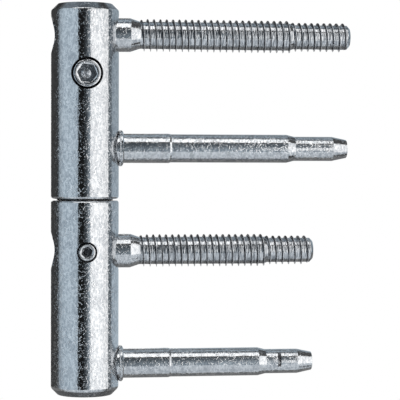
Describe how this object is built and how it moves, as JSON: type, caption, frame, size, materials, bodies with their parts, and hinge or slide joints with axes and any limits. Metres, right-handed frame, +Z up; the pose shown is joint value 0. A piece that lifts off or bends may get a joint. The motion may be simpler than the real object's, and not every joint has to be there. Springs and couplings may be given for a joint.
{
  "type": "barrel hinge",
  "caption": "Two stacked plated steel barrels that swing on an inner pin, each with a coarse threaded stud and a smooth support pin to the same side, and grub screws for height and clamping.",
  "frame": {"origin": "centre of the lower barrel's bottom face, on the swing axis", "axes": "+Z up along the swing axis, +X the way the studs and support pins point at rest, -Y the side of the grub screws"},
  "size_m": [0.0894, 0.02, 0.1152],
  "materials": {
    "plated_steel": "bright zinc plating with fine flecks",
    "screw_steel": "bright zinc plating, machined",
    "bare_steel": "ground and oiled",
    "spring_steel": "dark oiled spring steel",
    "bearing_plastic": "black moulded bearing plastic"
  },
  "bodies": {
    "frame_part": {"frame_barrel": "plated_steel", "hinge_pin": "bare_steel", "bearing_disc": "bearing_plastic", "frame_support_pin": "plated_steel"},
    "frame_stud": {"frame_stud": "plated_steel", "frame_stud_ring": "spring_steel"},
    "clamp_screw": {"clamp_screw": "screw_steel"},
    "lift_wedge": {"lift_wedge": "bare_steel"},
    "leaf_part": {"leaf_barrel": "plated_steel", "bearing_bush": "bearing_plastic", "leaf_support_pin": "plated_steel"},
    "leaf_stud": {"leaf_stud": "plated_steel", "leaf_stud_ring": "spring_steel"},
    "height_screw": {"height_screw": "screw_steel"}
  },
  "joints": [
    {"name": "leaf_swing", "type": "hinge", "parent": "frame_part", "child": "lift_wedge", "pos_m": [0, 0, 0.0865], "axis": [0, 0, 1], "continuous": true},
    {"name": "leaf_height", "type": "slide", "parent": "lift_wedge", "child": "leaf_part", "axis": [0, 0, 1], "range_m": [0, 0.003]},
    {"name": "height_screw_travel", "type": "slide", "parent": "leaf_part", "child": "height_screw", "axis": [0, 1, 0], "range_m": [0, 0.003]},
    {"name": "leaf_stud_turn", "type": "hinge", "parent": "leaf_part", "child": "leaf_stud", "pos_m": [0, 0, 0.10625], "axis": [1, 0, 0], "continuous": true},
    {"name": "frame_stud_turn", "type": "hinge", "parent": "frame_part", "child": "frame_stud", "pos_m": [0, 0, 0.04245], "axis": [1, 0, 0], "continuous": true},
    {"name": "clamp_screw_travel", "type": "slide", "parent": "frame_part", "child": "clamp_screw", "axis": [0, -1, 0], "range_m": [0, 0.0015]}
  ],
  "couplings": [
    {"joint": "height_screw_travel", "follows": "leaf_height", "ratio": 1}
  ]
}
